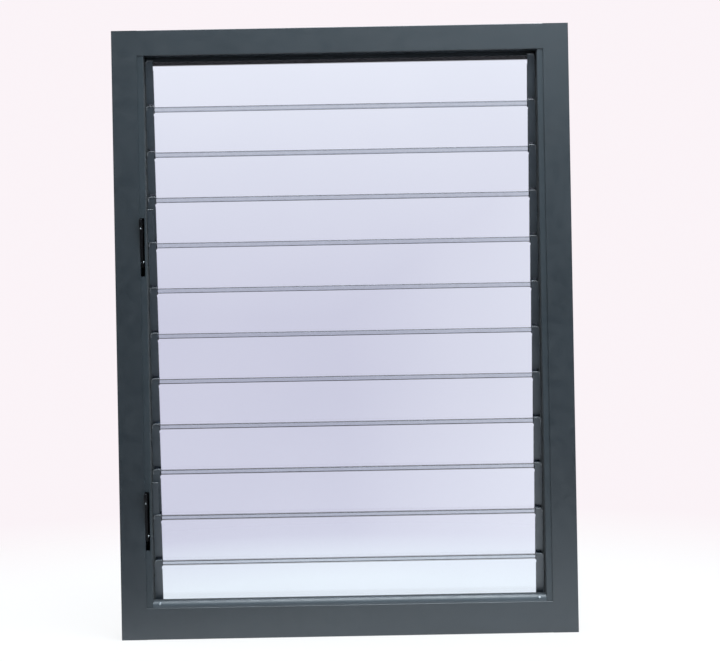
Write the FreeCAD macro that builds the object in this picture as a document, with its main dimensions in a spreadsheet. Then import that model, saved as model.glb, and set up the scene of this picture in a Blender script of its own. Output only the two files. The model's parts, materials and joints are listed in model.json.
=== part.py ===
import FreeCAD, Part
import os
import Sketcher
from FreeCAD import Rotation, Vector

doc = FreeCAD.newDocument("jalousie_window")

# Blades in each bank, and the place in its bank of the blade that carries the lever
BANKS = ("upper", "lower")
BLADES_PER_BANK = 6
DRIVE_PLACE = 5
BLADES = BLADES_PER_BANK * len(BANKS)
FIXINGS_PER_JAMB = 2
BORE_SIDES = 8

# How close counts as the same place
SAME_PLACE = 1e-4

# Driving sizes in millimetres and degrees
SIZES = (
    ("frame_width", 900),
    ("frame_depth", 80),
    ("jamb_face", 50),
    ("head_face", 50),
    ("sill_face", 62),
    ("sill_deck", 44),
    ("sill_fall", 5),
    ("upstand_depth", 24),
    ("tube_wall", 2),
    ("edge_radius", 1.2),
    ("fixing_radius", 3),
    ("fixing_setback", 13),
    ("fixing_end", 150),
    ("cap_inset", 0.5),
    ("cap_plate", 2.5),
    ("cap_skirt", 10),
    ("cap_wall", 1.5),
    ("gallery_width", 12.5),
    ("gallery_depth", 52),
    ("gallery_setback", 2),
    ("gallery_wall", 1.5),
    ("pivot_depth", 26),
    ("blade_spacing", 90),
    ("blade_height", 100),
    ("blade_thickness", 6),
    ("blade_arris", 0.8),
    ("pivot_rise", 12),
    ("closed_tilt", 7.5),
    ("top_gap", 5),
    ("bottom_gap", 5.35),
    ("clip_gap", 2),
    ("clip_width", 14.5),
    ("clip_wall", 2),
    ("clip_flange", 1.5),
    ("clip_top", 3),
    ("clip_foot", 2.3),
    ("clip_stagger", 4),
    ("clip_corner", 6),
    ("glass_gap", 0.3),
    ("tongue_reach", 65),
    ("tongue_width", 12),
    ("tongue_thickness", 2),
    ("tongue_offset", 1.2),
    ("shoulder_half", 5),
    ("bush_half", 5),
    ("bush_rim", 2),
    ("bush_flange_thickness", 0.8),
    ("pin_radius", 3),
    ("running_gap", 0.05),
    ("side_gap", 0.3),
    ("crank_radius", 14),
    ("crank_half", 5),
    ("crank_thickness", 2),
    ("crank_drop", 40),
    ("crank_pin_radius", 2),
    ("link_width", 9),
    ("link_thickness", 2),
    ("lever_thickness", 4.5),
    ("lever_hub", 8),
    ("lever_rise", 85),
    ("lever_shoulder", 62),
    ("lever_inset", 4),
    ("lever_heel", 11),
    ("lever_proud", 9),
    ("lever_tip_proud", 16),
    ("lever_tip_height", 7),
    ("lever_corner", 2),
    ("slot_width", 9),
    ("slot_above", 87),
    ("slot_below", 28),
    ("head_stop_drop", 15),
    ("head_stop_wall", 2),
    ("head_stop_round", 0.6),
    ("head_stop_foot", 18),
    ("head_stop_gap", 9),
    ("seal_thickness", 3),
    ("seal_height", 8),
    ("bead_height", 14),
    ("bead_depth", 19),
    ("bead_round", 11),
    ("bead_setback", 1),
    ("bead_wall", 1.6),
)

# Sizes that follow from the driving ones
DERIVED = (
    ("half_width", "Sizes.frame_width / 2"),
    ("half_depth", "Sizes.frame_depth / 2"),
    ("half_clear", "half_width - Sizes.jamb_face"),
    ("gallery_inner", "half_clear - Sizes.gallery_width"),
    ("gallery_front", "half_depth - Sizes.gallery_setback"),
    ("gallery_back", "Sizes.gallery_depth - gallery_front"),
    ("pivot_y", "Sizes.pivot_depth - gallery_front"),
    ("upstand_back", "Sizes.upstand_depth - half_depth"),
    ("clip_outer", "gallery_inner - Sizes.clip_gap"),
    ("clip_inner", "clip_outer - Sizes.clip_width"),
    ("glass_half", "clip_outer - Sizes.clip_wall - Sizes.glass_gap"),
    ("glass_face", "Sizes.blade_thickness / 2"),
    ("seat_face", "glass_face + Sizes.glass_gap"),
    ("clip_face", "seat_face + Sizes.clip_flange"),
    ("glass_top", "Sizes.blade_height / 2 - Sizes.pivot_rise"),
    ("glass_foot", "Sizes.blade_height / 2 + Sizes.pivot_rise"),
    ("clip_head", "glass_top + Sizes.clip_top"),
    ("corner_step", "Sizes.clip_corner * (1 - cos(45))"),
    ("clip_tail", "glass_foot + Sizes.clip_foot"),
    ("slant_spacing", "Sizes.blade_spacing * cos(Sizes.closed_tilt)"),
    ("inner_flange_end", "slant_spacing - clip_head - Sizes.clip_stagger"),
    ("outer_flange_end", "slant_spacing - clip_tail - Sizes.clip_stagger"),
    ("low_reach", "clip_tail * cos(Sizes.closed_tilt) + clip_face * sin(Sizes.closed_tilt)"),
    ("high_reach", "clip_head * cos(Sizes.closed_tilt) + clip_face * sin(Sizes.closed_tilt)"),
    ("lowest_pivot", "Sizes.sill_deck + Sizes.bottom_gap + low_reach"),
    ("highest_pivot", "lowest_pivot + Sizes.blade_spacing * %d" % (BLADES - 1)),
    ("head_bottom", "highest_pivot + high_reach + Sizes.top_gap"),
    ("frame_height", "head_bottom + Sizes.head_face"),
    ("fixing_y", "half_depth - Sizes.fixing_setback"),
    ("fixing_spacing", "(frame_height - 2 * Sizes.fixing_end) / %d" % (FIXINGS_PER_JAMB - 1)),
    ("bush_face", "gallery_inner - Sizes.bush_flange_thickness"),
    ("bush_end", "gallery_inner + Sizes.gallery_wall + Sizes.bush_flange_thickness"),
    ("shoulder_face", "bush_face - Sizes.side_gap"),
    ("bore_half", "Sizes.pin_radius + Sizes.running_gap"),
    ("bore_corner", "bore_half * tan(180 / %d)" % BORE_SIDES),
    ("crank_near", "bush_end + Sizes.side_gap"),
    ("crank_far", "crank_near + Sizes.crank_thickness"),
    ("link_near", "crank_far + Sizes.side_gap"),
    ("link_far", "link_near + Sizes.link_thickness"),
    ("crank_pin_end", "link_far + Sizes.side_gap / 2"),
    ("lever_near", "link_far + Sizes.side_gap"),
    ("lever_far", "lever_near + Sizes.lever_thickness"),
    ("crank_angle", "Sizes.crank_drop + Sizes.closed_tilt"),
    ("crank_y", "Sizes.crank_radius * cos(crank_angle)"),
    ("crank_z", "-Sizes.crank_radius * sin(crank_angle)"),
    ("link_y", "pivot_y + Sizes.crank_radius * cos(Sizes.crank_drop)"),
    ("link_drop", "Sizes.crank_radius * sin(Sizes.crank_drop)"),
    ("bead_front", "half_depth - Sizes.bead_setback"),
    ("bead_back", "bead_front - Sizes.bead_depth"),
    ("bead_top", "Sizes.sill_face + Sizes.bead_height"),
    ("stop_front", "pivot_y - glass_top * sin(Sizes.closed_tilt) + glass_face + Sizes.head_stop_gap"),
    ("stop_low", "head_bottom - Sizes.head_stop_drop"),
)


def fill_sheet(name, rows, as_text):
    """Make a sheet with a name and an aliased value on each row."""
    sheet = doc.addObject("Spreadsheet::Sheet", name)
    for row, (alias, value) in enumerate(rows, start=1):
        sheet.set(f"A{row}", alias)
        sheet.set(f"B{row}", as_text(value))
        sheet.setAlias(f"B{row}", alias)
    doc.recompute()
    return sheet


sizes = fill_sheet("Sizes", SIZES, str)
derived = fill_sheet("Derived", DERIVED, lambda formula: "=" + formula)


def value_of(expression):
    """The number an expression over the two sheets gives now."""
    return float(sizes.evalExpression(expression))


def new_body(label):
    body = doc.addObject("PartDesign::Body", label)
    body.Label = label
    return body


def origin_feature(body, role):
    return next(f for f in body.Origin.OriginFeatures if f.Role == role)


def new_sketch(body, plane, offset="0"):
    """A sketch on one of the body's own planes, moved along that plane's normal."""
    sketch = body.newObject("Sketcher::SketchObject", "Sketch")
    sketch.AttachmentSupport = (origin_feature(body, plane), [""])
    sketch.MapMode = "FlatFace"
    if offset != "0":
        sketch.setExpression("AttachmentOffset.Base.z", offset)
    return sketch


def pin_point(sketch, geometry, point, across, up):
    """Hold a sketch point at two expressions, measured from the sketch's origin."""
    for kind, axis, expression in (("DistanceX", -2, across), ("DistanceY", -1, up)):
        if expression == "0":
            sketch.addConstraint(Sketcher.Constraint("PointOnObject", geometry, point, axis))
            continue
        index = sketch.addConstraint(
            Sketcher.Constraint(kind, -1, 1, geometry, point, value_of(expression))
        )
        sketch.setExpression(f"Constraints[{index}]", expression)


def draw_loop(sketch, corners):
    """A closed outline whose corners are pairs of expressions."""
    spots = [Vector(value_of(across), value_of(up), 0) for across, up in corners]
    first = sketch.GeometryCount
    count = len(corners)
    for i in range(count):
        sketch.addGeometry(Part.LineSegment(spots[i], spots[(i + 1) % count]), False)
    for i in range(count):
        follower = first + (i + 1) % count
        sketch.addConstraint(Sketcher.Constraint("Coincident", first + i, 2, follower, 1))
    for i, (across, up) in enumerate(corners):
        pin_point(sketch, first + i, 1, across, up)


def draw_box(sketch, left, right, low, high):
    draw_loop(sketch, ((left, low), (right, low), (right, high), (left, high)))


def draw_square(sketch, across, up, half):
    draw_box(sketch, f"{across} - {half}", f"{across} + {half}", f"{up} - {half}", f"{up} + {half}")


def draw_circle(sketch, across, up, radius):
    centre = Vector(value_of(across), value_of(up), 0)
    ring = sketch.addGeometry(Part.Circle(centre, Vector(0, 0, 1), value_of(radius)), False)
    pin_point(sketch, ring, 3, across, up)
    index = sketch.addConstraint(Sketcher.Constraint("Radius", ring, value_of(radius)))
    sketch.setExpression(f"Constraints[{index}]", radius)


def pad(body, sketch, length, side="One side", back=False):
    feature = body.newObject("PartDesign::Pad", "Pad")
    feature.Profile = sketch
    feature.SideType = side
    feature.Reversed = back
    feature.setExpression("Length", length)
    doc.recompute()
    return feature


def pocket_through(body, sketch):
    feature = body.newObject("PartDesign::Pocket", "Pocket")
    feature.Profile = sketch
    feature.Type = "ThroughAll"
    feature.SideType = "Symmetric"
    doc.recompute()
    return feature


def repeat_up(body, features, spacing, count):
    """Copy features upward at an even spacing."""
    pattern = body.newObject("PartDesign::LinearPattern", "Pattern")
    pattern.Originals = features
    pattern.Direction = (origin_feature(body, "Z_Axis"), [""])
    pattern.Mode = "Spacing"
    pattern.Occurrences = count
    pattern.setExpression("Offset", spacing)
    body.Tip = pattern
    doc.recompute()
    return pattern


def round_edges(body, feature, keep, radius):
    """Round every edge of a feature that the test keeps."""
    names = [f"Edge{i}" for i, edge in enumerate(feature.Shape.Edges, 1) if keep(edge)]
    fillet = body.newObject("PartDesign::Fillet", "Fillet")
    fillet.Base = (feature, names)
    fillet.setExpression("Radius", radius)
    doc.recompute()
    return fillet


def runs_along(edge, axis):
    """True for a straight edge along the axis."""
    if len(edge.Vertexes) != 2:
        return False
    step = edge.Vertexes[1].Point - edge.Vertexes[0].Point
    return step.Length > 0 and step.cross(axis).Length < SAME_PLACE


def is_at(value, *expressions):
    return any(abs(value - value_of(expression)) < SAME_PLACE for expression in expressions)


ALONG_X, ALONG_Z = Vector(1, 0, 0), Vector(0, 0, 1)


def place(item, across, up, tilt=None):
    """Put a piece at a depth and height, turned about its pivot line."""
    if tilt:
        item.Placement.Rotation = Rotation(ALONG_X, value_of(tilt))
        item.setExpression("Placement.Rotation.Angle", tilt)
    item.setExpression("Placement.Base.y", across)
    item.setExpression("Placement.Base.z", up)


def group(label, pieces):
    """Several separate solids that make one node."""
    compound = doc.addObject("Part::Compound", label)
    compound.Label = label
    compound.Links = pieces
    return compound


def mirrored(label, source):
    mirror = doc.addObject("Part::Mirroring", label)
    mirror.Label = label
    mirror.Source = source
    mirror.Normal = ALONG_X
    return mirror


def draw_jamb_box(sketch, inset):
    """The left jamb's section, drawn in from its outer faces."""
    draw_box(sketch, f"-Derived.half_width + {inset}", f"-Derived.half_clear - {inset}",
             f"-Derived.half_depth + {inset}", f"Derived.half_depth - {inset}")


def make_jamb(label):
    """A full-height tube with fixing holes near its outdoor side."""
    body = new_body(label)
    sketch = new_sketch(body, "XY_Plane")
    draw_jamb_box(sketch, "0")
    draw_jamb_box(sketch, "Sizes.tube_wall")
    tube = pad(body, sketch, "Derived.frame_height")
    tube = round_edges(
        body, tube,
        lambda edge: runs_along(edge, ALONG_Z) and is_at(edge.CenterOfMass.x, "-Derived.half_width"),
        "Sizes.edge_radius",
    )
    holes = new_sketch(body, "YZ_Plane")
    draw_circle(holes, "Derived.fixing_y", "Sizes.fixing_end", "Sizes.fixing_radius")
    repeat_up(body, [pocket_through(body, holes)], "Derived.fixing_spacing", FIXINGS_PER_JAMB)
    return body


def make_caps(label):
    """Hollow plugs pushed into both ends of the left jamb."""
    plugs = []
    for name, end, inward in (
        ("top_cap", "Derived.frame_height - Sizes.cap_inset", "-"),
        ("bottom_cap", "Sizes.cap_inset", "+"),
    ):
        body = new_body(name)
        downward = inward == "-"
        plate = new_sketch(body, "XY_Plane", end)
        draw_jamb_box(plate, "Sizes.tube_wall")
        pad(body, plate, "Sizes.cap_plate", back=downward)
        skirt = new_sketch(body, "XY_Plane", f"{end} {inward} Sizes.cap_plate")
        draw_jamb_box(skirt, "Sizes.tube_wall")
        draw_jamb_box(skirt, "(Sizes.tube_wall + Sizes.cap_wall)")
        pad(body, skirt, "Sizes.cap_skirt", back=downward)
        plugs.append(body)
    return group(label, plugs)


def make_head(label):
    body = new_body(label)
    sketch = new_sketch(body, "YZ_Plane")
    draw_box(sketch, "-Derived.half_depth", "Derived.half_depth",
             "Derived.head_bottom", "Derived.frame_height")
    draw_box(sketch, "-Derived.half_depth + Sizes.tube_wall", "Derived.half_depth - Sizes.tube_wall",
             "Derived.head_bottom + Sizes.tube_wall", "Derived.frame_height - Sizes.tube_wall")
    tube = pad(body, sketch, "2 * Derived.half_clear", "Symmetric")
    round_edges(
        body, tube,
        lambda edge: runs_along(edge, ALONG_X)
        and is_at(edge.CenterOfMass.y, "Derived.half_depth", "-Derived.half_depth"),
        "Sizes.edge_radius",
    )
    return body


def make_sill(label):
    """A hollow sill: an upstand to the room, a deck under the blades, a fall to the outdoor side."""
    body = new_body(label)
    sketch = new_sketch(body, "YZ_Plane")
    draw_loop(sketch, (
        ("-Derived.half_depth", "0"),
        ("Derived.half_depth", "0"),
        ("Derived.half_depth", "Sizes.sill_deck - Sizes.sill_fall"),
        ("Derived.gallery_back", "Sizes.sill_deck"),
        ("Derived.upstand_back", "Sizes.sill_deck"),
        ("Derived.upstand_back", "Sizes.sill_face"),
        ("-Derived.half_depth", "Sizes.sill_face"),
    ))
    draw_loop(sketch, (
        ("-Derived.half_depth + Sizes.tube_wall", "Sizes.tube_wall"),
        ("Derived.half_depth - Sizes.tube_wall", "Sizes.tube_wall"),
        ("Derived.half_depth - Sizes.tube_wall", "Sizes.sill_deck - Sizes.sill_fall - Sizes.tube_wall"),
        ("Derived.gallery_back", "Sizes.sill_deck - Sizes.tube_wall"),
        ("Derived.upstand_back - Sizes.tube_wall", "Sizes.sill_deck - Sizes.tube_wall"),
        ("Derived.upstand_back - Sizes.tube_wall", "Sizes.sill_face - Sizes.tube_wall"),
        ("-Derived.half_depth + Sizes.tube_wall", "Sizes.sill_face - Sizes.tube_wall"),
    ))
    tube = pad(body, sketch, "2 * Derived.half_clear", "Symmetric")
    round_edges(
        body, tube,
        lambda edge: runs_along(edge, ALONG_X)
        and is_at(edge.CenterOfMass.y, "Derived.half_depth", "-Derived.half_depth"),
        "Sizes.edge_radius",
    )
    return body


def make_gallery(label, side, with_slots):
    """An open-backed channel on a jamb, with seats for the pivot bushes and a slot for each lever."""
    body = new_body(label)
    outer, inner = f"{side}Derived.half_clear", f"{side}Derived.gallery_inner"
    web = f"{side}(Derived.gallery_inner + Sizes.gallery_wall)"
    sketch = new_sketch(body, "XY_Plane", "Sizes.sill_deck")
    draw_loop(sketch, (
        (outer, "-Derived.gallery_front"),
        (inner, "-Derived.gallery_front"),
        (inner, "Derived.gallery_back"),
        (outer, "Derived.gallery_back"),
        (outer, "Derived.gallery_back - Sizes.gallery_wall"),
        (web, "Derived.gallery_back - Sizes.gallery_wall"),
        (web, "-Derived.gallery_front + Sizes.gallery_wall"),
        (outer, "-Derived.gallery_front + Sizes.gallery_wall"),
    ))
    channel = pad(body, sketch, "Derived.head_bottom - Sizes.sill_deck")
    round_edges(
        body, channel,
        lambda edge: runs_along(edge, ALONG_Z)
        and is_at(edge.CenterOfMass.y, "-Derived.gallery_front")
        and is_at(edge.CenterOfMass.x, inner),
        "Sizes.edge_radius",
    )
    notch = new_sketch(body, "YZ_Plane")
    draw_box(notch, "-Derived.half_depth", "Derived.upstand_back",
             "Sizes.sill_deck - Sizes.tube_wall", "Sizes.sill_face")
    pocket_through(body, notch)
    seats = new_sketch(body, "YZ_Plane")
    draw_square(seats, "Derived.pivot_y", "Derived.lowest_pivot", "Sizes.bush_half")
    repeat_up(body, [pocket_through(body, seats)], "Sizes.blade_spacing", BLADES)
    if with_slots:
        slots = new_sketch(body, "XZ_Plane", "Derived.gallery_front")
        for bank in BANKS:
            pivot = pivot_height(drive_number(bank))
            draw_box(slots, outer, f"{outer} + Sizes.slot_width",
                     f"{pivot} - Sizes.slot_below", f"{pivot} + Sizes.slot_above")
        cut = body.newObject("PartDesign::Pocket", "Slots")
        cut.Profile = slots
        cut.setExpression("Length", "Sizes.gallery_wall")
        doc.recompute()
    return body


def drive_number(bank):
    """The blade, counted from the top, that carries a bank's lever."""
    return BANKS.index(bank) * BLADES_PER_BANK + DRIVE_PLACE


def pivot_height(number):
    return f"(Derived.highest_pivot - {number - 1} * Sizes.blade_spacing)"


def draw_bore(sketch):
    """An eight-sided bore, so that the pin turns on the middles of its sides."""
    half, corner = "Derived.bore_half", "Derived.bore_corner"
    draw_loop(sketch, (
        (half, corner), (corner, half), (f"-{corner}", half), (f"-{half}", corner),
        (f"-{half}", f"-{corner}"), (f"-{corner}", f"-{half}"), (corner, f"-{half}"), (half, f"-{corner}"),
    ))


def make_bushes(label):
    """Square flanged bushes seated in the web of the left gallery."""
    body = new_body(label)
    layers = []
    for half, length, back in (
        ("(Sizes.bush_half + Sizes.bush_rim)", "Sizes.bush_flange_thickness", False),
        ("Sizes.bush_half", "Derived.bush_end - Derived.gallery_inner", True),
    ):
        sketch = new_sketch(body, "YZ_Plane", "-Derived.gallery_inner")
        draw_square(sketch, "0", "0", half)
        draw_bore(sketch)
        layers.append(pad(body, sketch, length, back=back))
    repeat_up(body, layers, "Sizes.blade_spacing", BLADES)
    place(body, "Derived.pivot_y", "Derived.lowest_pivot")
    return body


def make_bar(label, corners, rounded, radius):
    """A straight strip between the galleries, with some of its long edges rounded."""
    body = new_body(label)
    sketch = new_sketch(body, "YZ_Plane")
    draw_loop(sketch, corners)
    strip = pad(body, sketch, "2 * Derived.gallery_inner", "Symmetric")
    round_edges(
        body, strip,
        lambda edge: runs_along(edge, ALONG_X)
        and any(is_at(edge.CenterOfMass.y, y) and is_at(edge.CenterOfMass.z, z) for y, z in rounded),
        radius,
    )
    return body


def make_bead(label):
    """A thin rounded bead, open underneath, on the sill's upstand."""
    body = new_body(label)
    sketch = new_sketch(body, "YZ_Plane")
    front, back, top = "-Derived.bead_front", "-Derived.bead_back", "Derived.bead_top"
    front_in, back_in = f"{front} + Sizes.bead_wall", f"{back} - Sizes.bead_wall"
    top_in = f"{top} - Sizes.bead_wall"
    draw_loop(sketch, (
        (front, "Sizes.sill_face"),
        (front_in, "Sizes.sill_face"),
        (front_in, top_in),
        (back_in, top_in),
        (back_in, "Sizes.sill_face"),
        (back, "Sizes.sill_face"),
        (back, top),
        (front, top),
    ))
    strip = pad(body, sketch, "2 * Derived.gallery_inner", "Symmetric")
    for y, z, radius in (
        (front, top, "Sizes.bead_round"),
        (front_in, top_in, "Sizes.bead_round - Sizes.bead_wall"),
    ):
        strip = round_edges(
            body, strip,
            lambda edge: runs_along(edge, ALONG_X)
            and is_at(edge.CenterOfMass.y, y) and is_at(edge.CenterOfMass.z, z),
            radius,
        )
    return body


def make_glass(label, number):
    """One blade with its long edges eased."""
    body = new_body(label)
    sketch = new_sketch(body, "YZ_Plane")
    face, ease = "Derived.glass_face", "Sizes.blade_arris"
    draw_loop(sketch, (
        (f"-{face} + {ease}", "-Derived.glass_foot"),
        (f"{face} - {ease}", "-Derived.glass_foot"),
        (face, f"-Derived.glass_foot + {ease}"),
        (face, f"Derived.glass_top - {ease}"),
        (f"{face} - {ease}", "Derived.glass_top"),
        (f"-{face} + {ease}", "Derived.glass_top"),
        (f"-{face}", f"Derived.glass_top - {ease}"),
        (f"-{face}", f"-Derived.glass_foot + {ease}"),
    ))
    pad(body, sketch, "2 * Derived.glass_half", "Symmetric")
    place(body, "Derived.pivot_y", pivot_height(number), "Sizes.closed_tilt")
    return body


def make_clip(label, work):
    """A left clip: staggered flanges round the glass, a pivot pin, and a crank unless it idles."""
    body = new_body(label)
    outer, lip = "-Derived.clip_outer", "-Derived.clip_inner"
    face, seat = "Derived.clip_face", "Derived.seat_face"
    web = new_sketch(body, "YZ_Plane", outer)
    draw_loop(web, (
        (f"-{face}", "-Derived.inner_flange_end"),
        (f"-{face}", "Derived.clip_head"),
        (seat, "Derived.clip_head"),
        (seat, "Derived.outer_flange_end"),
        (face, "Derived.outer_flange_end"),
        (face, "-Derived.clip_tail"),
        (f"-{seat}", "-Derived.clip_tail"),
        (f"-{seat}", "-Derived.inner_flange_end"),
    ))
    pad(body, web, "Sizes.clip_wall")
    room_flange = new_sketch(body, "XZ_Plane", seat)
    draw_box(room_flange, outer, lip, "-Derived.inner_flange_end", "Derived.clip_head")
    pad(body, room_flange, "Sizes.clip_flange")
    outdoor_flange = new_sketch(body, "XZ_Plane", f"-{face}")
    draw_box(outdoor_flange, outer, lip, "-Derived.clip_tail", "Derived.outer_flange_end")
    pad(body, outdoor_flange, "Sizes.clip_flange")
    cap = new_sketch(body, "YZ_Plane", outer)
    draw_box(cap, f"-{face}", seat, "Derived.glass_top + Sizes.glass_gap", "Derived.clip_head")
    pad(body, cap, "Sizes.clip_width")
    foot = new_sketch(body, "YZ_Plane", outer)
    draw_box(foot, f"-{seat}", face, "-Derived.clip_tail", "-Derived.glass_foot - Sizes.glass_gap")
    pad(body, foot, "Sizes.clip_width")
    corner = new_sketch(body, "XZ_Plane")
    draw_loop(corner, (
        (outer, "Derived.clip_head"),
        (outer, "Derived.clip_head - Sizes.clip_corner"),
        (f"{outer} + Derived.corner_step", "Derived.clip_head - Derived.corner_step"),
        (f"{outer} + Sizes.clip_corner", "Derived.clip_head"),
    ))
    pocket_through(body, corner)
    if work == "drives":
        tongue = new_sketch(body, "XZ_Plane", "-Sizes.tongue_thickness / 2")
        draw_box(tongue, f"{outer} - Sizes.tongue_offset",
                 f"{outer} - Sizes.tongue_offset + Sizes.tongue_width",
                 "Derived.glass_top + Sizes.glass_gap", "Derived.clip_head + Sizes.tongue_reach")
        pad(body, tongue, "Sizes.tongue_thickness")
    shoulder = new_sketch(body, "YZ_Plane", "-Derived.shoulder_face")
    draw_square(shoulder, "0", "0", "Sizes.shoulder_half")
    pad(body, shoulder, "Derived.shoulder_face - Derived.clip_outer")
    pin = new_sketch(body, "YZ_Plane", "-Derived.shoulder_face")
    draw_circle(pin, "0", "0", "Sizes.pin_radius")
    pin_end = "Derived.lever_far" if work == "drives" else "Derived.crank_far"
    pad(body, pin, f"{pin_end} - Derived.shoulder_face", back=True)
    if work == "idles":
        return body
    arm = new_sketch(body, "YZ_Plane", "-Derived.crank_far")
    half, reach = "Sizes.crank_half", "Sizes.crank_radius + Sizes.crank_half"
    draw_loop(arm, (
        crank_corner(f"-{half}", half),
        crank_corner(reach, half),
        crank_corner(reach, f"-{half}"),
        crank_corner(f"-{half}", f"-{half}"),
    ))
    pad(body, arm, "Sizes.crank_thickness")
    crank_pin = new_sketch(body, "YZ_Plane", "-Derived.crank_far")
    draw_circle(crank_pin, "Derived.crank_y", "Derived.crank_z", "Sizes.crank_pin_radius")
    pad(body, crank_pin, "Derived.crank_pin_end - Derived.crank_far", back=True)
    return body


def crank_corner(along, aside):
    """A point of the crank arm, measured along it and to its side."""
    turn = "Derived.crank_angle"
    return (
        f"({along}) * cos({turn}) + ({aside}) * sin({turn})",
        f"({aside}) * cos({turn}) - ({along}) * sin({turn})",
    )


def make_link(label, bank):
    """A bank's link bar, drawn about the crank pin that drives it, with a square hole for each pin."""
    body = new_body(label)
    sketch = new_sketch(body, "YZ_Plane", "-Derived.link_far")
    above = f"{DRIVE_PLACE - 1} * Sizes.blade_spacing + Sizes.link_width"
    below = f"-{BLADES_PER_BANK - DRIVE_PLACE} * Sizes.blade_spacing - Sizes.link_width"
    draw_box(sketch, "-Sizes.link_width / 2", "Sizes.link_width / 2", below, above)
    for place_in_bank in range(1, BLADES_PER_BANK + 1):
        step = DRIVE_PLACE - place_in_bank
        draw_square(sketch, "0", f"{step} * Sizes.blade_spacing",
                    "(Sizes.crank_pin_radius + Sizes.running_gap)")
    pad(body, sketch, "Sizes.link_thickness")
    place(body, "Derived.link_y", f"{pivot_height(drive_number(bank))} - Derived.link_drop")
    return body


def make_lever(label, bank):
    """A flat lever on the drive pin, standing up through its slot when the blades are shut."""
    body = new_body(label)
    sketch = new_sketch(body, "YZ_Plane", "-Derived.lever_far")
    hub, rise, shoulder = "Sizes.lever_hub", "Sizes.lever_rise", "Sizes.lever_shoulder"
    inside = "-Sizes.pivot_depth + Sizes.lever_inset"
    grip = "-Sizes.pivot_depth - Sizes.gallery_setback - Sizes.lever_proud"
    tip = "-Sizes.pivot_depth - Sizes.gallery_setback - Sizes.lever_tip_proud"
    draw_loop(sketch, (
        (hub, hub),
        (inside, shoulder),
        (inside, rise),
        (tip, rise),
        (tip, f"{rise} - Sizes.lever_tip_height"),
        (grip, shoulder),
        ("-Sizes.pivot_depth", "0"),
        (inside, "-Sizes.lever_heel"),
        ("0", f"-{hub}"),
        (hub, "0"),
    ))
    draw_circle(sketch, "0", "0", "Sizes.pin_radius + Sizes.running_gap")
    plate = pad(body, sketch, "Sizes.lever_thickness")
    hub_reach = value_of(hub)
    round_edges(
        body, plate,
        lambda edge: runs_along(edge, ALONG_X) and edge.CenterOfMass.y < -hub_reach,
        "Sizes.lever_corner",
    )
    place(body, "Derived.pivot_y", pivot_height(drive_number(bank)))
    return body


# Fixed pieces
nodes = [make_jamb("left_jamb")]
nodes.append(mirrored("right_jamb", nodes[0]))
left_caps = make_caps("left_caps")
nodes += [left_caps, mirrored("right_caps", left_caps)]
nodes.append(make_head("head"))
nodes.append(make_sill("sill"))
nodes.append(make_gallery("left_gallery", "-", True))
nodes.append(make_gallery("right_gallery", "", False))
left_bushes = make_bushes("left_bushes")
nodes += [left_bushes, mirrored("right_bushes", left_bushes)]

stop_back = "Derived.stop_front + Sizes.head_stop_wall"
nodes.append(make_bar(
    "head_stop",
    (
        ("Derived.stop_front", "Derived.stop_low"),
        (stop_back, "Derived.stop_low"),
        (stop_back, "Derived.head_bottom - Sizes.head_stop_wall"),
        ("Derived.stop_front + Sizes.head_stop_foot", "Derived.head_bottom - Sizes.head_stop_wall"),
        ("Derived.stop_front + Sizes.head_stop_foot", "Derived.head_bottom"),
        ("Derived.stop_front", "Derived.head_bottom"),
    ),
    ((stop_back, "Derived.stop_low"),),
    "Sizes.head_stop_round",
))
seal_front = "Derived.stop_front - Sizes.seal_thickness"
nodes.append(make_bar(
    "head_seal",
    (
        (seal_front, "Derived.stop_low"),
        ("Derived.stop_front", "Derived.stop_low"),
        ("Derived.stop_front", "Derived.stop_low + Sizes.seal_height"),
        (seal_front, "Derived.stop_low + Sizes.seal_height"),
    ),
    ((seal_front, "Derived.stop_low"), (seal_front, "Derived.stop_low + Sizes.seal_height")),
    "Sizes.seal_thickness / 2",
))
nodes.append(make_bead("sill_bead"))
seal_back = "-Derived.bead_back + Sizes.seal_thickness"
nodes.append(make_bar(
    "sill_seal",
    (
        ("-Derived.bead_back", "Derived.bead_top - Sizes.seal_height"),
        (seal_back, "Derived.bead_top - Sizes.seal_height"),
        (seal_back, "Derived.bead_top"),
        ("-Derived.bead_back", "Derived.bead_top"),
    ),
    ((seal_back, "Derived.bead_top - Sizes.seal_height"), (seal_back, "Derived.bead_top")),
    "Sizes.seal_thickness / 2",
))

# Moving pieces
follow_clip = make_clip("follow_clip", "follows")
drive_clip = make_clip("drive_clip", "drives")
idle_clip = mirrored("idle_clip", make_clip("idle_clip_source", "idles"))
for number in range(1, BLADES + 1):
    nodes.append(make_glass(f"glass_{number:02d}", number))
    drives = number in [drive_number(bank) for bank in BANKS]
    clips = group(f"clips_{number:02d}", [drive_clip if drives else follow_clip, idle_clip])
    place(clips, "Derived.pivot_y", pivot_height(number), "Sizes.closed_tilt")
    nodes.append(clips)

for bank in BANKS:
    nodes.append(make_lever(f"{bank}_lever", bank))
    nodes.append(make_link(f"{bank}_links", bank))

# Every piece is checked before any file is written
doc.recompute()
for item in doc.Objects:
    if "Invalid" in item.State or "Error" in item.State:
        raise RuntimeError(f"{item.Label} did not rebuild: {item.State}")
for node in nodes:
    if node.Shape.isNull() or not node.Shape.isValid() or not node.Shape.Solids:
        raise RuntimeError(f"{node.Label} has no sound shape")

os.makedirs("parts", exist_ok=True)
for node in nodes:
    node.Shape.exportStep(f"parts/{node.Label}.step")
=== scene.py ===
import json
import math

import bmesh
import bpy
from mathutils import Matrix, Vector


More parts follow.
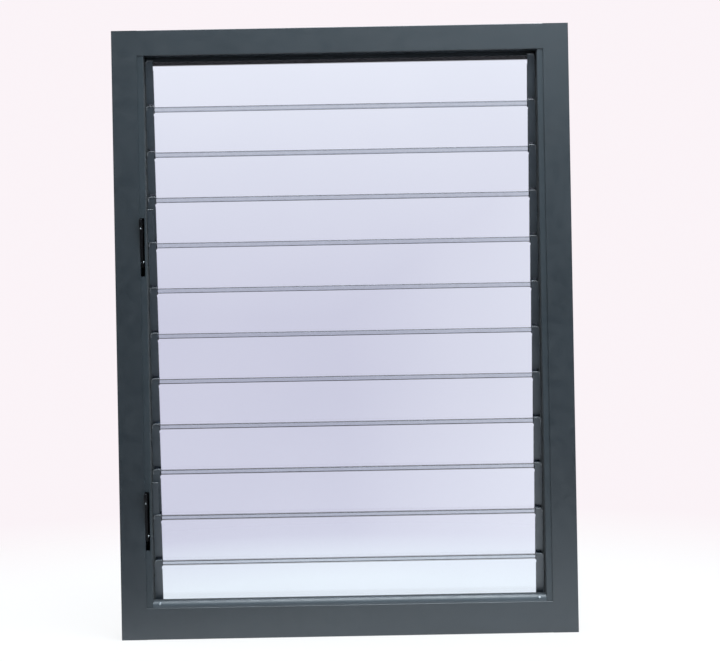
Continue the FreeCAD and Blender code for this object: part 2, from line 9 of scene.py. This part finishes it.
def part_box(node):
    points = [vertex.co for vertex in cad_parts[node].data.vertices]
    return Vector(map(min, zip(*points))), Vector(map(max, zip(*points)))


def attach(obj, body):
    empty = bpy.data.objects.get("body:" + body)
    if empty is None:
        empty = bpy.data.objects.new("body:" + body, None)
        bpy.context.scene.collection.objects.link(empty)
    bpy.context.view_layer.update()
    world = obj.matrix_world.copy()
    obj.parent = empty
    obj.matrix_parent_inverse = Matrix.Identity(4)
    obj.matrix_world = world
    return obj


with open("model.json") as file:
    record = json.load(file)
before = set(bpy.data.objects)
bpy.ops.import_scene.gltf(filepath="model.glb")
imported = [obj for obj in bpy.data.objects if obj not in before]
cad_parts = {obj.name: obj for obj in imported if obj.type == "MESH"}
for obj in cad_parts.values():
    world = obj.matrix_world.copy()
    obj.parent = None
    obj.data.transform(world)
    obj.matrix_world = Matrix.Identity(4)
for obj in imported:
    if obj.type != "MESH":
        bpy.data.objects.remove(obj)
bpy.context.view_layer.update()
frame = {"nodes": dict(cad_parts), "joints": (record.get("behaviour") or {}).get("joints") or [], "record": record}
scene = bpy.context.scene
nodes = frame["nodes"]

# Pivot of each moving body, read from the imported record, in metres
PIVOTS = {joint["child"]: Vector(joint["pos_m"]) for joint in frame["joints"]}
BLADES = sorted(body for body in PIVOTS if body.startswith("blade_"))
DRIVE_BLADES = {"upper": "blade_05", "lower": "blade_11"}

# The closed blades and their clips, in metres
CLOSED_TILT = math.radians(7.5)
CLIP_OUTER = 0.3855
CLIP_INNER = 0.371
CLIP_FACE = 0.0048
CLIP_HEAD = 0.041
CLIP_CORNER = 0.006
TONGUE_OUTER = 0.3867
TONGUE_INNER = 0.3747
TONGUE_TOP = 0.106

# Where the closed blades lap, from the lower edge of one to the upper edge of the next
BLADE_SPACING = PIVOTS["blade_01"].z - PIVOTS["blade_02"].z
LAP_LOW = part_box("glass_01")[0][2]
LAP_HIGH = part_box("glass_02")[1][2]
# Width of the painted shade line where a lapping edge lies
EDGE_SHADE_WIDTH = 0.0014

# The levers, measured from the middle of the window
LEVER_MIDDLE = 0.39695
LEVER_SIDE = 0.3947

# The photograph and the camera that took it, with lengths in metres and the offset in pixels
IMAGE_WIDTH = 720
FRONT_PLANE = -0.04
OBJECT_CENTRE_HEIGHT = 0.6
CAMERA_DISTANCE = 3.0
CAMERA_HEIGHT = 0.66
PIXELS_PER_METRE = 508.0
SENSOR_WIDTH = 36.0
PHOTO_ROLL = math.radians(1.05)
CENTRE_OFFSET = (-15.1, -0.6)

# The part of a noise's range that is put to use
NOISE_LOW = 0.3
NOISE_HIGH = 0.7

# The colour sockets of a mix node: amount, first and second colour, and the result
MIX_INPUTS = (0, 6, 7)
MIX_RESULT = 2


# Shader helpers
class Nodes:
    """A node tree, with short ways to add nodes and join them."""

    def __init__(self, tree):
        self.tree = tree

    def add(self, kind, **settings):
        node = self.tree.nodes.new(kind)
        for key, value in settings.items():
            setattr(node, key, value)
        return node

    def feed(self, value, socket):
        """Join another socket to this one, or set a number or a colour on it."""
        if isinstance(value, bpy.types.NodeSocket):
            self.tree.links.new(value, socket)
        elif socket.type == "RGBA":
            socket.default_value = (*value, 1.0)
        else:
            socket.default_value = value

    def part_of(self, vector, axis):
        node = self.add("ShaderNodeSeparateXYZ")
        self.feed(vector, node.inputs["Vector"])
        return node.outputs[axis]

    def span(self, value, low, high, start=NOISE_LOW, end=NOISE_HIGH):
        """A number that goes from low to high as the value goes from start to end."""
        node = self.add("ShaderNodeMapRange")
        limits = {"From Min": start, "From Max": end, "To Min": low, "To Max": high}
        for name, number in {"Value": value, **limits}.items():
            self.feed(number, node.inputs[name])
        return node.outputs["Result"]

    def blend(self, first, second, amount, kind="MIX"):
        """One colour laid over another."""
        node = self.add("ShaderNodeMix", data_type="RGBA", blend_type=kind)
        for place, value in zip(MIX_INPUTS, (amount, first, second)):
            self.feed(value, node.inputs[place])
        return node.outputs[MIX_RESULT]

    def maths(self, operation, *values):
        node = self.add("ShaderNodeMath", operation=operation)
        for value, socket in zip(values, node.inputs):
            self.feed(value, socket)
        return node.outputs["Value"]

    def mix_shaders(self, amount, first, second):
        node = self.add("ShaderNodeMixShader")
        for value, socket in zip((amount, first, second), node.inputs):
            self.feed(value, socket)
        return node.outputs["Shader"]


class Surface(Nodes):
    """A material's nodes, round its surface shader."""

    def __init__(self, name):
        self.material = bpy.data.materials.new(name)
        self.material.use_nodes = True
        super().__init__(self.material.node_tree)
        self.shader = self.tree.nodes["Principled BSDF"]
        self.output = self.tree.nodes["Material Output"]
        coordinates = self.add("ShaderNodeTexCoord")
        self.place = coordinates.outputs["Object"]
        self.normal = coordinates.outputs["Normal"]

    def drive(self, **values):
        """Feed the shader's sockets by name."""
        for name, value in values.items():
            self.feed(value, self.shader.inputs[name.replace("_", " ")])

    def stretched(self, scale):
        """The object's own coordinates, scaled along each axis."""
        mapping = self.add("ShaderNodeMapping")
        self.feed(self.place, mapping.inputs["Vector"])
        self.feed(scale, mapping.inputs["Scale"])
        return mapping.outputs["Vector"]

    def noise(self, scale, detail=2.0, roughness=0.5, vector=None):
        node = self.add("ShaderNodeTexNoise")
        self.feed(vector or self.place, node.inputs["Vector"])
        for name, value in {"Scale": scale, "Detail": detail, "Roughness": roughness}.items():
            self.feed(value, node.inputs[name])
        return node.outputs["Fac"]

    def shades(self, value, low, high, start=NOISE_LOW, end=NOISE_HIGH):
        """A colour that goes from low to high as the value goes from start to end."""
        node = self.add("ShaderNodeValToRGB")
        for element, place, colour in zip(node.color_ramp.elements, (start, end), (low, high)):
            element.position, element.color = place, (*colour, 1.0)
        self.feed(value, node.inputs["Fac"])
        return node.outputs["Color"]

    def bump(self, height, strength, depth):
        node = self.add("ShaderNodeBump")
        for name, value in {"Height": height, "Strength": strength, "Distance": depth}.items():
            self.feed(value, node.inputs[name])
        self.drive(Normal=node.outputs["Normal"])


# Powder coat, with noise scales per metre and depths in metres
COAT_IOR = 1.6
DRIFT_SCALE = 5.0
GRAIN_SCALE = 1400.0
GRAIN_DARK, GRAIN_LIGHT = (0.92, 0.92, 0.92), (1.06, 1.06, 1.06)
GRAIN_SPAN = (0.35, 0.65)
GRAIN_AMOUNT = 0.6
DUST_HEIGHT = 0.09
DUST_SCALE = 70.0
DUST_SPAN = (0.45, 0.8)
DUST_AMOUNT = 0.10
DUST_LIFT = 3.2
SMEAR_SCALE = 46.0
SMOOTHER, ROUGHER = 0.05, 0.06
PEEL_SCALE = 650.0
PEEL_DEPTH = 0.0003
MATT_ROUGHNESS = 0.92
# How much darker the matt faces are painted: a painted shade
MATT_PAINTED_SHADE = (0.55, 0.55, 0.55)


def powder_coat(name, low, high, roughness, peel=0.12, shine=1.0, matt_shaded=None):
    """Satin powder coat: drifting shade, orange peel, dust near the floor, and matt faces along an axis that also
    carry a painted shade.
    """
    coat = Surface(name)
    drift = coat.shades(coat.noise(DRIFT_SCALE, detail=3.0), low, high)
    grain = coat.shades(coat.noise(GRAIN_SCALE), GRAIN_DARK, GRAIN_LIGHT, *GRAIN_SPAN)
    colour = coat.blend(drift, grain, GRAIN_AMOUNT, "MULTIPLY")
    low_down = coat.span(coat.part_of(coat.place, "Z"), 1.0, 0.0, 0.0, DUST_HEIGHT)
    patches = coat.span(coat.noise(DUST_SCALE, detail=6.0, roughness=0.7), 0.0, DUST_AMOUNT, *DUST_SPAN)
    dusty = tuple(DUST_LIFT * part for part in high)
    colour = coat.blend(colour, dusty, coat.maths("MULTIPLY", low_down, patches))
    smears = coat.noise(SMEAR_SCALE, detail=4.0)
    rough = coat.span(smears, roughness - SMOOTHER, roughness + ROUGHER)
    if matt_shaded:
        axis, start, end = matt_shaded
        along = coat.maths("ABSOLUTE", coat.part_of(coat.normal, axis))
        matt_and_shaded_faces = coat.span(along, 0.0, 1.0, start, end)
        rough = coat.maths("MAXIMUM", rough, coat.maths("MULTIPLY", matt_and_shaded_faces, MATT_ROUGHNESS))
        # Painted shade: the matt faces are also darkened
        colour = coat.blend(colour, MATT_PAINTED_SHADE, matt_and_shaded_faces, "MULTIPLY")
    coat.drive(Base_Color=colour, Roughness=rough, IOR=COAT_IOR, Specular_IOR_Level=shine)
    coat.bump(coat.noise(PEEL_SCALE, detail=2.5), peel, PEEL_DEPTH)
    return coat.material


# Mouldings
MOTTLE_SCALE = 70.0
SCUFF_SCALE = 120.0
SCUFF_SMOOTHER, SCUFF_ROUGHER = 0.06, 0.08
SPARK_STRENGTH, SPARK_DEPTH = 0.22, 0.0004


def moulded(name, low, high, roughness, grain=900.0, shine=0.4):
    """Moulded plastic or rubber with a fine spark-eroded grain."""
    plastic = Surface(name)
    scuffs = plastic.noise(SCUFF_SCALE, detail=3.0)
    plastic.drive(
        Base_Color=plastic.shades(plastic.noise(MOTTLE_SCALE, detail=4.0), low, high),
        Roughness=plastic.span(scuffs, roughness - SCUFF_SMOOTHER, roughness + SCUFF_ROUGHER),
        Specular_IOR_Level=shine,
    )
    plastic.bump(plastic.noise(grain, detail=3.0), SPARK_STRENGTH, SPARK_DEPTH)
    return plastic.material


# Bare metal
BRUSH_SCALE = 420.0
BRUSH_SMOOTHER, BRUSH_ROUGHER = 0.07, 0.1
BRUSH_STRENGTH, BRUSH_DEPTH = 0.12, 0.0002


def brushed_metal(name, low, high, roughness, along):
    """Bare metal with fine lines, drawn out along the axes with a small scale."""
    metal = Surface(name)
    lines = metal.noise(BRUSH_SCALE, detail=4.0, roughness=0.6, vector=metal.stretched(along))
    metal.drive(
        Base_Color=metal.shades(lines, low, high),
        Roughness=metal.span(lines, roughness - BRUSH_SMOOTHER, roughness + BRUSH_ROUGHER),
        Metallic=1.0,
    )
    metal.bump(lines, BRUSH_STRENGTH, BRUSH_DEPTH)
    return metal.material


# Glass
GLASS_IOR = 1.5
TINT_SCALE = 3.0
FACE_LIMIT = 0.95
SETTLED_SCALE = 60.0
SETTLED_LEAST = 0.8
FILM_SCALE = 24.0
FILM_SPAN = (0.45, 0.8)
FILM_ROUGHNESS = 0.03
EDGE_ROUGHNESS = 0.35
EDGE_CLEARNESS = 0.1


def float_glass(name, low, high, ground, dust, edge_shade):
    """Clear float glass: ground edges, dust where the closed blades lap, and a painted shade line where an edge
    lies over the next blade.
    """
    glass = Surface(name)
    facing = glass.add("ShaderNodeVectorMath", operation="DOT_PRODUCT")
    glass.feed(glass.normal, facing.inputs[0])
    glass.feed((0.0, math.cos(CLOSED_TILT), math.sin(CLOSED_TILT)), facing.inputs[1])
    edge = glass.maths("LESS_THAN", glass.maths("ABSOLUTE", facing.outputs["Value"]), FACE_LIMIT)
    drift = glass.shades(glass.noise(TINT_SCALE), low, high)
    rise = glass.maths("SUBTRACT", glass.part_of(glass.place, "Z"), LAP_LOW)
    half_lap = (LAP_HIGH - LAP_LOW) / 2
    from_middle = glass.maths("SUBTRACT", glass.maths("FLOORED_MODULO", rise, BLADE_SPACING), half_lap)
    from_middle = glass.maths("ABSOLUTE", from_middle)
    lapped = glass.maths("LESS_THAN", from_middle, half_lap)
    patchy = glass.span(glass.noise(SETTLED_SCALE, detail=4.0), SETTLED_LEAST, 1.0)
    # A painted shade line where a blade's edge lies, standing for the dark look of the edge through the glass
    shaded_edge_line = glass.maths("GREATER_THAN", from_middle, half_lap - EDGE_SHADE_WIDTH)
    dust_and_edge_shade = glass.blend(dust, edge_shade, shaded_edge_line)
    tinted = glass.blend(drift, dust_and_edge_shade, glass.maths("MULTIPLY", lapped, patchy), "MULTIPLY")
    streaks = glass.noise(FILM_SCALE, detail=5.0, roughness=0.65)
    film = glass.span(streaks, 0.0, FILM_ROUGHNESS, *FILM_SPAN)
    glass.drive(
        Base_Color=glass.blend(tinted, ground, edge),
        Roughness=glass.maths("MAXIMUM", film, glass.maths("MULTIPLY", edge, EDGE_ROUGHNESS)),
        Transmission_Weight=glass.span(edge, 1.0, EDGE_CLEARNESS, 0.0, 1.0),
        IOR=GLASS_IOR,
    )
    return glass.material


# Finishes: darkest shade, lightest shade and roughness, then what differs from the usual
PAINT = powder_coat("frame_paint", (0.0115, 0.0180, 0.0245), (0.0155, 0.0235, 0.0315), 0.38)
# The channels' paint is lighter than the frame's, a painted light on their recessed front, and their side faces
# carry a painted shade
CHANNEL_LIT_AND_SHADED = powder_coat(
    "channel_paint_lit_and_shaded", (0.020, 0.029, 0.036), (0.026, 0.037, 0.046), 0.38, shine=0.75, matt_shaded=("X", 0.3, 0.7)
)
# The bead's paint is lighter than the frame's, a painted light from above, and its flat top carries a painted
# shade
LIT_BEAD = powder_coat("bead_paint_lit", (0.028, 0.040, 0.052), (0.036, 0.052, 0.066), 0.46, matt_shaded=("Z", 0.86, 0.96))
CLIP = powder_coat("clip_paint", (0.030, 0.039, 0.050), (0.040, 0.052, 0.065), 0.36, peel=0.08)
# The rims' paint is much lighter than the clips', a painted highlight along the rolled edges
LIT_RIM = powder_coat("clip_rim_painted_highlight", (0.100, 0.108, 0.116), (0.160, 0.170, 0.178), 0.24, peel=0.06)
BUSH = moulded("bush_nylon", (0.012, 0.012, 0.014), (0.020, 0.020, 0.022), 0.48)
RUBBER = moulded("seal_rubber", (0.003, 0.003, 0.004), (0.006, 0.006, 0.007), 0.88, grain=1500.0, shine=0.02)
LEVER = moulded("lever_plastic", (0.003, 0.003, 0.004), (0.006, 0.006, 0.007), 0.42, shine=0.2)
LINK = brushed_metal("link_metal", (0.20, 0.20, 0.21), (0.30, 0.30, 0.31), 0.40, along=(0.3, 1.0, 0.03))
STEEL = brushed_metal("fastener_steel", (0.42, 0.44, 0.46), (0.60, 0.62, 0.64), 0.32, along=(1.0, 1.0, 1.0))
GLASS = float_glass(
    "clear_glass", (0.82, 0.885, 0.965), (0.845, 0.91, 0.985),
    ground=(0.03, 0.033, 0.042), dust=(0.875, 0.855, 0.830), edge_shade=(0.57, 0.56, 0.555),
)
BY_SLOT = {
    "frame_paint": PAINT,
    "clip_metal": CLIP,
    "bush_plastic": BUSH,
    "seal_rubber": RUBBER,
    "lever_plastic": LEVER,
    "link_metal": LINK,
    "clear_glass": GLASS,
}
BY_NODE = {"left_gallery": CHANNEL_LIT_AND_SHADED, "right_gallery": CHANNEL_LIT_AND_SHADED, "sill_bead": LIT_BEAD}

# CAD nodes: a finish for each, and eased edges on the clips, levers, link bars and glass
SLOT_OF = {row["node"]: row["material_slot"] for row in frame["record"]["subparts"]}
EASED = {"clip_metal": 0.0005, "lever_plastic": 0.0006, "link_metal": 0.0003, "clear_glass": 0.0008}
EASE_STEPS = 2
WELD_DISTANCE = 0.00001
SHARP_ANGLE = math.radians(40)
for name, node in nodes.items():
    slot = SLOT_OF[name]
    node.data.materials.clear()
    node.data.materials.append(BY_NODE.get(name, BY_SLOT[slot]))
    if slot in EASED:
        weld = node.modifiers.new("weld", "WELD")
        weld.merge_threshold = WELD_DISTANCE
        bevel = node.modifiers.new("bevel", "BEVEL")
        bevel.width, bevel.segments = EASED[slot], EASE_STEPS
        bevel.limit_method, bevel.angle_limit = "ANGLE", SHARP_ANGLE
        bevel.harden_normals = slot == "clear_glass"


# Added pieces
def add_piece(name, build, body, material):
    """A smooth mesh filled by a build function, riding on a body."""
    mesh = bpy.data.meshes.new(name)
    shape = bmesh.new()
    build(shape)
    bmesh.ops.recalc_face_normals(shape, faces=shape.faces)
    shape.to_mesh(mesh)
    shape.free()
    mesh.shade_smooth()
    mesh.set_sharp_from_angle(angle=SHARP_ANGLE)
    mesh.materials.append(material)
    piece = bpy.data.objects.new(name, mesh)
    scene.collection.objects.link(piece)
    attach(piece, body)


def skin(shape, rings):
    """Faces between rings of points, closed at both ends."""
    loops = [[shape.verts.new(spot) for spot in ring] for ring in rings]
    for low, high in zip(loops, loops[1:]):
        for i in range(len(low)):
            j = (i + 1) % len(low)
            shape.faces.new((low[i], low[j], high[j], high[i]))
    shape.faces.new(loops[0][::-1])
    shape.faces.new(loops[-1])


def lathe(shape, profile, centre, axis, turns=28):
    """Turn pairs of a height and a radius about an axis."""
    spin = Vector(axis).to_track_quat("Z", "Y").to_matrix()
    angles = [2 * math.pi * i / turns for i in range(turns)]
    skin(shape, [
        [Vector(centre) + spin @ Vector((radius * math.cos(a), radius * math.sin(a), height)) for a in angles]
        for height, radius in profile
    ])


def sweep(shape, path, across, radius, sides=12):
    """A round bar along a path that lies in the plane square to one direction."""
    rings = []
    for i, spot in enumerate(path):
        along = (path[min(i + 1, len(path) - 1)] - path[max(i - 1, 0)]).normalized()
        aside = along.cross(across)
        angles = [2 * math.pi * k / sides for k in range(sides)]
        rings.append([spot + radius * (math.cos(a) * across + math.sin(a) * aside) for a in angles])
    skin(shape, rings)


# Clip rims, whose lighter paint is a painted highlight along the rolled edges
RIM_RADIUS = 0.0009
RIM_DROP = 0.004
CORNER_STEPS = 8


def closed_blade(body):
    """Turns a place measured from a closed blade's pivot line into the shared frame."""
    pivot = PIVOTS[body]
    return Matrix.Translation((0.0, pivot.y, pivot.z)) @ Matrix.Rotation(CLOSED_TILT, 4, "X")


def clip_rims(body):
    """The rolled edge along the top and outer corner of a blade's clips, and along the top of a tongue."""
    put = closed_blade(body)
    across = put.to_3x3() @ Vector((0, 1, 0))

    def build(shape):
        for side in (-1, 1):
            bend = CLIP_CORNER - RIM_RADIUS
            centre_x, centre_z = CLIP_OUTER - CLIP_CORNER, CLIP_HEAD - CLIP_CORNER
            flat = [(CLIP_INNER, CLIP_HEAD - RIM_RADIUS)]
            for i in range(CORNER_STEPS + 1):
                angle = math.radians(90) * (1 - i / CORNER_STEPS)
                flat.append((centre_x + bend * math.cos(angle), centre_z + bend * math.sin(angle)))
            flat.append((CLIP_OUTER - RIM_RADIUS, centre_z - RIM_DROP))
            path = [put @ Vector((side * x, -CLIP_FACE, z)) for x, z in flat]
            sweep(shape, path, across, RIM_RADIUS)
        if body in DRIVE_BLADES.values():
            height = TONGUE_TOP - RIM_RADIUS
            path = [put @ Vector((-x, -RIM_RADIUS, height)) for x in (TONGUE_INNER, TONGUE_OUTER)]
            sweep(shape, path, across, RIM_RADIUS)

    return build


for body in BLADES:
    add_piece(f"clip_rims_{body[-2:]}", clip_rims(body), body, LIT_RIM)

# Heads of screws and rivets: pairs of a height and a radius, in metres
SOCKET_SCREW = (
    (-0.0004, 0.0024), (0.0, 0.0027), (0.0006, 0.0027), (0.0011, 0.0024),
    (0.0014, 0.0017), (0.0014, 0.0012), (0.0006, 0.0011), (0.0005, 0.0004),
)
DOME_RIVET = (
    (-0.0003, 0.0015), (0.0, 0.0017), (0.0004, 0.0016), (0.0008, 0.0012), (0.0010, 0.0007), (0.0011, 0.0002),
)
PAN_RIVET = (
    (-0.0003, 0.0023), (0.0, 0.0026), (0.0010, 0.0025), (0.0016, 0.0021), (0.0020, 0.0013), (0.0021, 0.0003),
)

# Screws that hold the sill bead, near its ends on its rounded front
BEAD_LOW, BEAD_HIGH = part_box("sill_bead")
BEAD_ROUND = 0.011
SCREW_TURN = math.radians(27)
SCREW_INSET = 0.0135


def bead_screws(shape):
    axis = Vector((0, -math.cos(SCREW_TURN), math.sin(SCREW_TURN)))
    hub = Vector((0, BEAD_LOW[1] + BEAD_ROUND, BEAD_HIGH[2] - BEAD_ROUND))
    for x in (BEAD_LOW[0] + SCREW_INSET, BEAD_HIGH[0] - SCREW_INSET):
        lathe(shape, SOCKET_SCREW, Vector((x, 0, 0)) + hub + BEAD_ROUND * axis, axis)


add_piece("bead_screws", bead_screws, "frame", STEEL)

# Rivets on each lever: one on its grip, one on its side where it passes the slot
GRIP_RISE, GRIP_REACH = 0.066, 0.0388
GRIP_LEAN, GRIP_LENGTH = 0.007, 0.016
GRIP_SLOPE = math.atan2(GRIP_LEAN, GRIP_LENGTH)
SIDE_REACH = 0.0225


def lever_rivets(body):
    def build(shape):
        pivot = PIVOTS[body]
        grip = Vector((-LEVER_MIDDLE, pivot.y - GRIP_REACH, pivot.z + GRIP_RISE))
        lathe(shape, DOME_RIVET, grip, (0, -math.cos(GRIP_SLOPE), -math.sin(GRIP_SLOPE)))
        lathe(shape, PAN_RIVET, (-LEVER_SIDE, pivot.y - SIDE_REACH, pivot.z), (1, 0, 0))

    return build


for bank, body in DRIVE_BLADES.items():
    add_piece(f"{bank}_lever_rivets", lever_rivets(body), body, STEEL)

# Floor and backdrop, white where they are brightest
BACKDROP = (0.965, 0.90, 0.935)
FLOOR = (0.99, 0.995, 1.0)
FLOOR_RADIUS = 14.0
FLOOR_SIDES = 96
FLOOR_DROP = 0.0005
FLOOR_ROUGHNESS, FLOOR_SHINE = 0.8, 0.2

# How far out, in metres, the floor turns into the backdrop, for the camera and through the glass
FLOOR_FADE = (0.9, 1.9)
BEHIND_FADE = (0.6, 1.3)

# How much of the floor shows its own light near the window, while the rest takes the shadow
LEAST_LIGHT = 0.85
FULL_LIGHT_FROM = 0.6

# What shows through the glass has a painted shade low down and a painted light higher up and towards the right, by
# the slope of a view ray
BEHIND_SHADED_LOW = (0.760, 0.712, 0.805)
BEHIND_LIT_HIGH = (1.0, 0.96, 1.0)
CLIMB = (-0.01, 0.155)
ASIDE = (0.0, 0.13)
ASIDE_LIFT = 0.6
ROOM_DEPTH = 3.0

# What gloss mirrors: a cool floor that fades away from the window, later on the right, and a ceiling
COOL_FLOOR = (0.86, 0.94, 1.0)
MIRROR_FADE = (0.25, 0.9)
BRIGHT_SIDE = 0.7
CEILING = (0.72, 0.90, 1.0)
CEILING_RISE = (0.0, 0.35)
ROOM_GLOSS = (0.075, 0.62)

# The light from all sides
FILL = (0.80, 0.81, 0.84)
FILL_STRENGTH = 0.28


def floor_material(name):
    """A pale floor, white near the window, that runs into the backdrop and still takes a soft shadow."""
    ground = Surface(name)
    reach = ground.add("ShaderNodeVectorMath", operation="LENGTH")
    ground.feed(ground.place, reach.inputs[0])
    out = reach.outputs["Value"]
    far = ground.span(out, 0.0, 1.0, *FLOOR_FADE)
    colour = ground.blend(FLOOR, BACKDROP, far)
    ground.drive(Base_Color=colour, Roughness=FLOOR_ROUGHNESS, Specular_IOR_Level=FLOOR_SHINE)
    across = ground.part_of(ground.place, "X")
    depth = ground.maths("ABSOLUTE", ground.part_of(ground.place, "Y"))
    aside = ground.maths("DIVIDE", across, ground.maths("ADD", depth, ROOM_DEPTH))
    # Behind the window, what shows through the glass carries the same painted shade low down and painted light to
    # the right
    rear = ground.blend(BEHIND_SHADED_LOW, BEHIND_LIT_HIGH, ground.span(aside, 0.0, ASIDE_LIFT, *ASIDE))
    behind = ground.blend(FLOOR, rear, ground.span(out, 0.0, 1.0, *BEHIND_FADE))
    path = ground.add("ShaderNodeLightPath")
    through, direct = path.outputs["Is Transmission Ray"], path.outputs["Is Camera Ray"]
    mirrored = ground.maths("GREATER_THAN", path.outputs["Is Glossy Ray"], through)
    light = ground.add("ShaderNodeEmission")
    shown = ground.blend(colour, behind, through)
    ground.feed(ground.blend(shown, COOL_FLOOR, mirrored), light.inputs["Color"])
    mirror_depth = ground.maths("MULTIPLY_ADD", across, -BRIGHT_SIDE, depth)
    away = ground.span(mirror_depth, 0.0, 1.0 - ROOM_GLOSS[0], *MIRROR_FADE)
    strength = ground.maths("SUBTRACT", 1.0, ground.maths("MULTIPLY", mirrored, away))
    ground.feed(strength, light.inputs["Strength"])
    seen = ground.maths("MAXIMUM", ground.maths("MAXIMUM", direct, through), mirrored)
    even = ground.span(far, LEAST_LIGHT, 1.0, 0.0, FULL_LIGHT_FROM)
    mixed = ground.mix_shaders(
        ground.maths("MULTIPLY", seen, even), ground.shader.outputs["BSDF"], light.outputs["Emission"]
    )
    ground.feed(mixed, ground.output.inputs["Surface"])
    return ground.material


floor_mesh = bpy.data.meshes.new("floor")
disc = bmesh.new()
bmesh.ops.create_circle(disc, cap_ends=True, segments=FLOOR_SIDES, radius=FLOOR_RADIUS)
disc.to_mesh(floor_mesh)
disc.free()
floor_mesh.materials.append(floor_material("floor_pale"))
floor = bpy.data.objects.new("floor", floor_mesh)
floor.location.z = -FLOOR_DROP
scene.collection.objects.link(floor)


def studio_world(name):
    """An even backdrop, with a painted shade low down and a painted light towards the right through the glass, a
    soft fill, and a ceiling for gloss.
    """
    world = bpy.data.worlds.new(name)
    world.use_nodes = True
    sky = Nodes(world.node_tree)
    sky.tree.nodes.remove(sky.tree.nodes["Background"])

    def background(colour, strength=1.0):
        node = sky.add("ShaderNodeBackground")
        sky.feed(colour, node.inputs["Color"])
        sky.feed(strength, node.inputs["Strength"])
        return node.outputs["Background"]

    way = sky.add("ShaderNodeTexCoord").outputs["Generated"]
    across, height = sky.part_of(way, "X"), sky.part_of(way, "Z")
    lighter = sky.maths(
        "MAXIMUM", sky.span(height, 0.0, 1.0, *CLIMB), sky.span(across, 0.0, ASIDE_LIFT, *ASIDE)
    )
    path = sky.add("ShaderNodeLightPath")
    light = background(FILL, FILL_STRENGTH)
    for ray, shown in (
        ("Is Glossy Ray", background(CEILING, sky.span(height, *ROOM_GLOSS, *CEILING_RISE))),
        ("Is Transmission Ray", background(sky.blend(BEHIND_SHADED_LOW, BEHIND_LIT_HIGH, lighter))),
        ("Is Camera Ray", background(BACKDROP)),
    ):
        light = sky.mix_shaders(path.outputs[ray], light, shown)
    sky.feed(light, sky.tree.nodes["World Output"].inputs["Surface"])
    return world


scene.world = studio_world("studio")

# Lamps: place, target and size in metres, power in watts, colour, and whether gloss and glass mirror it
LAMPS = {
    "overhead": ((0.5, -0.9, 3.0), (0.1, -0.2, 0.2), (2.2, 1.8), 92.0, (0.86, 0.94, 1.0), True),
    "front_high": ((1.3, -3.3, 2.3), (0.2, 0.0, 0.7), (1.8, 1.0), 7.5, (0.78, 0.92, 1.0), True),
    "right": ((3.0, -2.4, 1.2), (0.1, 0.0, 0.3), (1.6, 2.0), 38.0, (0.86, 0.94, 1.0), False),
    "left": ((-3.0, 0.9, 1.6), (0.0, 0.0, 0.6), (1.6, 2.0), 48.0, (0.92, 0.96, 1.0), False),
    "behind": ((0.6, 2.6, 3.3), (0.0, 0.0, 0.6), (2.4, 1.6), 42.0, (0.94, 0.97, 1.0), True),
}


def add_lamp(name, place, target, size, power, colour, mirrored):
    """A soft rectangular lamp that faces its target."""
    lamp = bpy.data.lights.new(name, "AREA")
    lamp.shape, lamp.size, lamp.size_y = "RECTANGLE", *size
    lamp.energy, lamp.color = power, colour
    holder = bpy.data.objects.new(name, lamp)
    holder.location = place
    holder.visible_glossy = holder.visible_transmission = mirrored
    holder.rotation_euler = (Vector(target) - Vector(place)).to_track_quat("-Z", "Y").to_euler()
    scene.collection.objects.link(holder)


for name, settings in LAMPS.items():
    add_lamp(name, *settings)

# Camera
camera_data = bpy.data.cameras.new("camera")
camera_data.sensor_width = SENSOR_WIDTH
camera_data.lens = PIXELS_PER_METRE * CAMERA_DISTANCE / IMAGE_WIDTH * SENSOR_WIDTH
drop = (CAMERA_HEIGHT - OBJECT_CENTRE_HEIGHT) * PIXELS_PER_METRE
camera_data.shift_x = -(CENTRE_OFFSET[0] - drop * math.sin(PHOTO_ROLL)) / IMAGE_WIDTH
camera_data.shift_y = -(drop * math.cos(PHOTO_ROLL) + CENTRE_OFFSET[1]) / IMAGE_WIDTH
camera = bpy.data.objects.new("camera", camera_data)
turn = Matrix.Rotation(math.radians(90), 4, "X") @ Matrix.Rotation(-PHOTO_ROLL, 4, "Z")
camera.matrix_world = Matrix.Translation((0.0, FRONT_PLANE - CAMERA_DISTANCE, CAMERA_HEIGHT)) @ turn
scene.collection.objects.link(camera)
scene.camera = camera

scene.view_settings.view_transform = "Standard"
